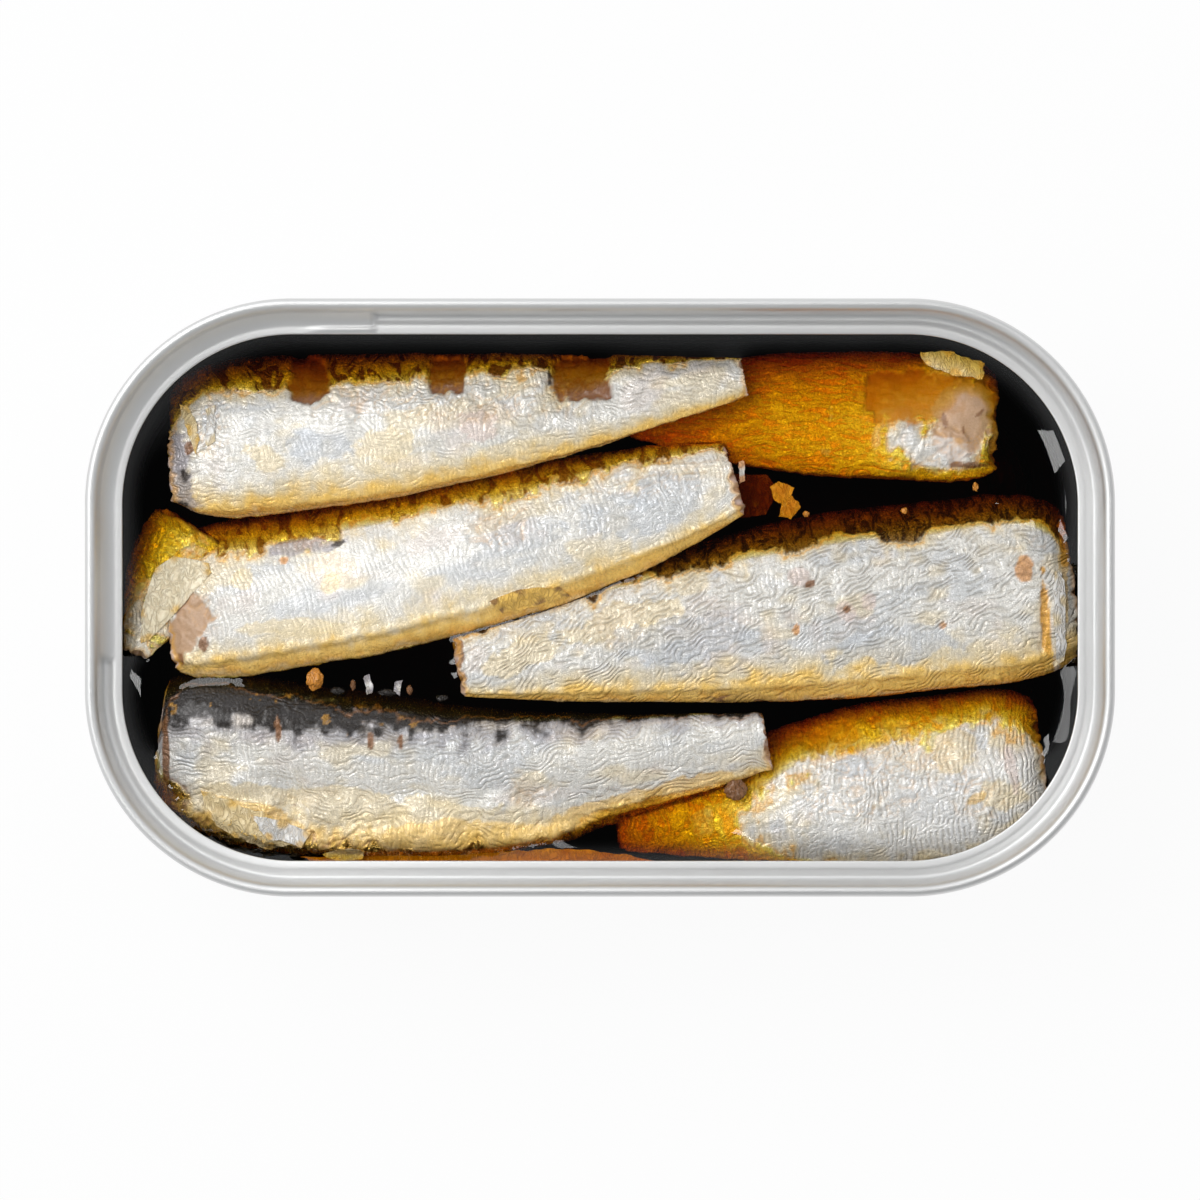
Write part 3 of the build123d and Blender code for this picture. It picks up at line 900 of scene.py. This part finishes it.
def buildFlake(name, look, trees, material):
    outline, lift, tone, edgeTone = look
    bm = bmesh.new()
    bmesh.ops.create_circle(bm, cap_ends=True, segments=len(outline), radius=1)
    for vertex, (x, y) in zip(bm.verts, reversed(outline)):
        vertex.co = (x * mm, y * mm, 0)
    bmesh.ops.triangulate(bm, faces=bm.faces)
    for _ in range(4):
        bmesh.ops.subdivide_edges(bm, edges=bm.edges, cuts=1, use_grid_fill=True)
    bm.verts.index_update()
    edge = {v.index for e in bm.edges if e.is_boundary for v in e.verts}
    points = np.array([v.co for v in bm.verts]) / mm
    wander = cloudNoise(points / 1.1, len(name), 3)
    for vertex, drift in zip(bm.verts, wander):
        if vertex.index in edge:
            vertex.co.x += 0.35 * drift * mm
            vertex.co.y += 0.25 * drift * mm
        hits = [tree.ray_cast((vertex.co.x, vertex.co.y, tinTop), Vector((0, 0, -1)))[0] for tree in trees]
        top = max((hit.z for hit in hits if hit and lift >= 0), default=0)
        lowest = oilLevel + scrapShared["overOil"] * mm
        vertex.co.z = max(top, lowest) + (lift + scrapShared["drift"] * drift) * mm
    for _ in range(6):
        bmesh.ops.smooth_vert(bm, verts=bm.verts, factor=0.5, use_axis_z=True)
    under = bmesh.ops.extrude_face_region(bm, geom=bm.faces)["geom"]
    under = [g for g in under if isinstance(g, bmesh.types.BMVert)]
    bmesh.ops.translate(bm, vec=(0, 0, -scrapShared["thickness"] * mm), verts=under)
    bmesh.ops.recalc_face_normals(bm, faces=bm.faces)
    piece = finishPiece(bm, name, material, None)
    points = pointsOf(piece.data) / mm
    away = np.array([min(math.hypot(x - u, y - w) for u, w in outline) for x, y in points[:, :2]])
    fringe = ease(0.9, 0.3, away + 0.4 * cloudNoise(points / 0.6, 5, 2))
    paint = lay(np.tile(skinTones[tone], (len(points), 1)), 0.8 * fringe, edgeTone)
    keepAttribute(piece.data, "skinPaint", paint)


def buildCrumb(name, look, material):
    x, y, wide, deep, high, above, tone = look
    bm = bmesh.new()
    bmesh.ops.create_icosphere(bm, subdivisions=4, radius=1)
    bumps = cloudNoise(np.array([v.co for v in bm.verts]) * 1.6, len(name) + x, 3)
    for vertex, bump in zip(bm.verts, bumps):
        vertex.co *= 1 + scrapShared["lumps"] * bump
    bmesh.ops.scale(bm, vec=(wide * mm, deep * mm, high * mm), verts=bm.verts)
    bmesh.ops.translate(bm, vec=(x * mm, y * mm, oilLevel + above * mm), verts=bm.verts)
    piece = finishPiece(bm, name, material, None)
    keepAttribute(piece.data, "skinPaint", np.tile(skinTones[tone], (len(piece.data.vertices), 1)))


def buildScraps(fishPieces):
    material = scrapFlesh()
    trees = [BVHTree.FromObject(p, bpy.context.evaluated_depsgraph_get()) for p in fishPieces]
    for name, look in flakeLooks.items():
        buildFlake(name, look, trees, material)
    for name, look in crumbLooks.items():
        buildCrumb(name, look, material)


# The oil: one closed body of liquid whose surface climbs the wall and the fish as a liquid does
oilLook = dict(
    spacing=0.32,
    climbWall=3.0,
    reach=2.4,  # how far from what holds it up the climb dies away
    swellHeight=0.02,
    swellSize=3.5,
    wallInset=0.97,
    absorb=(0.940, 0.817, 0.0, 1),
    density=1800.0,
)


def oilClear():
    steady = {"Base Color": colour(1, 1, 1), "Roughness": 0.0, "IOR": 1.47, "Transmission Weight": 1.0}
    material, shader, start = newMaterial("oilClear", steady)
    tree = material.node_tree
    tinted = start.node(
        "ShaderNodeVolumeAbsorption", None, {"Color": oilLook["absorb"], "Density": oilLook["density"]}
    )
    output = next(n for n in tree.nodes if n.type == "OUTPUT_MATERIAL")
    tree.links.new(tinted.socket, output.inputs["Volume"])
    rays = start.node("ShaderNodeLightPath").socket.node.outputs
    through = start.node("ShaderNodeBsdfTransparent")
    sides = {0: Signal(tree, rays["Is Shadow Ray"]), 1: Signal(tree, shader.outputs[0]), 2: through}
    passed = start.node("ShaderNodeMixShader", None, sides)  # lamps reach the fish through it
    tree.links.new(passed.socket, output.inputs["Surface"])
    return material


def insideWall(points, inset):  # millimetres inside the plan brought in by inset, below 0 outside it
    radius = tinLook["cornerRadius"] * mm
    overX = np.maximum(np.abs(points[:, 0]) - (halfLength - radius), 0)
    overY = np.maximum(np.abs(points[:, 1]) - (halfWidth - radius), 0)
    return (radius - inset * mm - np.hypot(overX, overY)) / mm


def moveToWall(vertex, inset):
    radius = tinLook["cornerRadius"] * mm
    x, y = vertex.co.x, vertex.co.y
    cornerX = math.copysign(min(abs(x), halfLength - radius), x)
    cornerY = math.copysign(min(abs(y), halfWidth - radius), y)
    out = Vector((x - cornerX, y - cornerY)).normalized() * (radius - inset * mm)
    vertex.co.x, vertex.co.y = cornerX + out.x, cornerY + out.y


def buildOil(fishPieces):
    bm = bmesh.new()
    inset, spacing = oilLook["wallInset"], oilLook["spacing"] * mm
    columns, rows = round(2 * halfLength / spacing), round(2 * halfWidth / spacing)
    bmesh.ops.create_grid(bm, x_segments=columns, y_segments=rows, size=1.0)
    bmesh.ops.scale(bm, vec=(halfLength, halfWidth, 1), verts=bm.verts)
    points = np.array([v.co for v in bm.verts])
    column = np.round((points[:, 0] + halfLength) / (2 * halfLength) * columns).astype(int)
    row = np.round((points[:, 1] + halfWidth) / (2 * halfWidth) * rows).astype(int)

    trees = [BVHTree.FromObject(p, bpy.context.evaluated_depsgraph_get()) for p in fishPieces]
    climbs = [look["climb"] for look in fishLooks.values()]
    down = Vector((0, 0, -1))
    climb = np.zeros((rows + 1, columns + 1))
    held = np.zeros((rows + 1, columns + 1), bool)
    walled = insideWall(points, inset) < 0.3 * oilLook["spacing"]
    for k, vertex in enumerate(bm.verts):
        above = (vertex.co.x, vertex.co.y, tinTop)
        tops = [tree.ray_cast(above, down)[0] or Vector() for tree in trees]
        highest = max(range(len(trees)), key=lambda n: tops[n].z)
        if walled[k] or tops[highest].z > oilLevel + 0.1 * mm:
            held[row[k], column[k]] = True
            climb[row[k], column[k]] = oilLook["climbWall"] if walled[k] else climbs[highest]
    fixed = climb.copy()
    pull = 4 + (oilLook["spacing"] / oilLook["reach"]) ** 2
    for _ in range(400):  # the surface settles between what holds it up
        around = np.pad(climb, 1, mode="edge")
        around = around[2:, 1:-1] + around[:-2, 1:-1] + around[1:-1, 2:] + around[1:-1, :-2]
        climb = np.where(held, fixed, around / pull)
    flat = np.stack((points[:, 0], points[:, 1], 0 * row), 1)
    swell = oilLook["swellHeight"] * cloudNoise(flat / (oilLook["swellSize"] * mm), 77, 2)
    for k, vertex in enumerate(bm.verts):
        vertex.co.z = oilLevel + (climb[row[k], column[k]] + swell[k]) * mm

    outside = insideWall(points, inset) < -0.75 * oilLook["spacing"]
    doomed = [vertex for vertex, out in zip(bm.verts, outside) if out]
    bmesh.ops.delete(bm, geom=doomed, context="VERTS")
    for vertex in {v for edge in bm.edges if edge.is_boundary for v in edge.verts}:
        moveToWall(vertex, inset)
    # further in from the wall, and the height there, down to the base of the tin
    lowered = [(0.0, 2.6), (0.35, 1.1), (1.0, 0.45), (2.2, 0.12), (3.9, 0.14), (4.6, 1.0), (9.4, 1.5)]
    edges = [edge for edge in bm.edges if edge.is_boundary]
    for further, height in lowered:
        grown = bmesh.ops.extrude_edge_only(bm, edges=edges)["geom"]
        fresh = {g for g in grown if isinstance(g, bmesh.types.BMVert)}
        for vertex in fresh:
            moveToWall(vertex, inset + further)
            vertex.co.z = height * mm
        edges = [g for g in grown if isinstance(g, bmesh.types.BMEdge) and set(g.verts) <= fresh]
    bmesh.ops.holes_fill(bm, edges=edges, sides=0)
    bmesh.ops.recalc_face_normals(bm, faces=bm.faces)
    return finishPiece(bm, "oilBody", oilClear(), "oil", 60)


# The studio: a white floor, a big soft light from the rear left, and two narrow ones overhead that
# leave thin bright lines where the oil climbs
studioLook = dict(
    cameraLens=100,
    cameraAbove=335.7,  # millimetres over the rim
    cameraFront=0.25,
    aim=(0, 0, 0.02),  # where the lamps point, in metres like their places and sizes
    keyPlace=(-0.23, 0.19, 0.45),
    keySize=(0.32, 0.32),
    keyPower=1.27,
    overPlaces=dict(overLeft=(-0.165, -0.07, 0.45), overRight=(0.165, 0.07, 0.45)),
    overSize=(0.05, 0.15),
    overPower=0.16,
    skyPower=0.87,
    floorGlow=0.93,  # the share of white that the floor shows of itself
)


def softLight(name, place, size, power):
    lamp = bpy.data.lights.new(name, "AREA")
    lamp.shape, lamp.size, lamp.size_y = "RECTANGLE", size[0], size[1]
    lamp.energy = power
    light = bpy.data.objects.new(name, lamp)
    light.location = place
    light.rotation_euler = (Vector(studioLook["aim"]) - Vector(place)).to_track_quat("-Z", "Y").to_euler()
    bpy.context.scene.collection.objects.link(light)


def whiteFloor():
    material, shader, start = newMaterial("floorWhite", {"Roughness": 0.9, "Specular IOR Level": 0.0})
    tree = material.node_tree
    shader.inputs["Base Color"].default_value = colour(0.9, 0.9, 0.9)
    rays = start.node("ShaderNodeLightPath")
    outs = rays.socket.node.outputs
    seen = Signal(tree, outs["Is Camera Ray"]).most(Signal(tree, outs["Is Glossy Ray"]))
    seen = seen.most(Signal(tree, outs["Is Transmission Ray"]))
    glow = start.node("ShaderNodeEmission", None, {"Color": colour(1, 1, 1), "Strength": 1.0})
    lit = Signal(tree, shader.outputs[0])
    sides = {0: seen * studioLook["floorGlow"], 1: lit, 2: glow}
    mixed = start.node("ShaderNodeMixShader", None, sides)
    output = next(n for n in tree.nodes if n.type == "OUTPUT_MATERIAL")
    tree.links.new(mixed.socket, output.inputs["Surface"])
    bm = bmesh.new()
    bmesh.ops.create_grid(bm, x_segments=1, y_segments=1, size=3)
    mesh = bpy.data.meshes.new("floor")
    bm.to_mesh(mesh)
    bm.free()
    mesh.materials.append(material)
    floor = bpy.data.objects.new("floor", mesh)
    bpy.context.scene.collection.objects.link(floor)


def studioSky():
    world = bpy.data.worlds.new("studioSky")
    bpy.context.scene.world = world
    world.use_nodes = True
    tree = world.node_tree
    start = Signal(tree)
    x, y, z = start.node("ShaderNodeTexCoord", None, None, 0).parts()
    ring = z.ease(0.97, 0.70, 0.05, 1.0)
    side = (y * 0.6 - x * 0.45).ease(-0.6, 0.6, 0.60, 1.0)
    power = ring * side * studioLook["skyPower"]
    rays = start.node("ShaderNodeLightPath")
    seen = Signal(tree, rays.socket.node.outputs["Is Camera Ray"])
    back = tree.nodes["Background"]
    back.inputs["Color"].default_value = colour(0.97, 0.985, 1.0)
    strength = power * (1 - seen) + seen
    tree.links.new(strength.socket, back.inputs["Strength"])


def buildStudio():
    whiteFloor()
    studioSky()
    softLight("keyLight", studioLook["keyPlace"], studioLook["keySize"], studioLook["keyPower"])
    for name, place in studioLook["overPlaces"].items():
        softLight(name, place, studioLook["overSize"], studioLook["overPower"])
    camera = bpy.data.objects.new("camera", bpy.data.cameras.new("camera"))
    camera.data.lens = studioLook["cameraLens"]
    camera.data.clip_start, camera.data.clip_end = 0.01, 10
    camera.location = (0.0, -studioLook["cameraFront"] * mm, tinTop + studioLook["cameraAbove"] * mm)
    bpy.context.scene.collection.objects.link(camera)
    bpy.context.scene.camera = camera
    bpy.context.scene.view_settings.view_transform = "Standard"


metal = tinMetal()
buildTinBody(metal)
buildSeamRing(metal)
print("tin built")
fishPieces = [buildFish(name, look) for name, look in fishLooks.items()]
print("fish built:", [len(piece.data.polygons) for piece in fishPieces])
buildOil(fishPieces)
print("oil built")
buildScraps(fishPieces)
print("scraps built")
buildStudio()
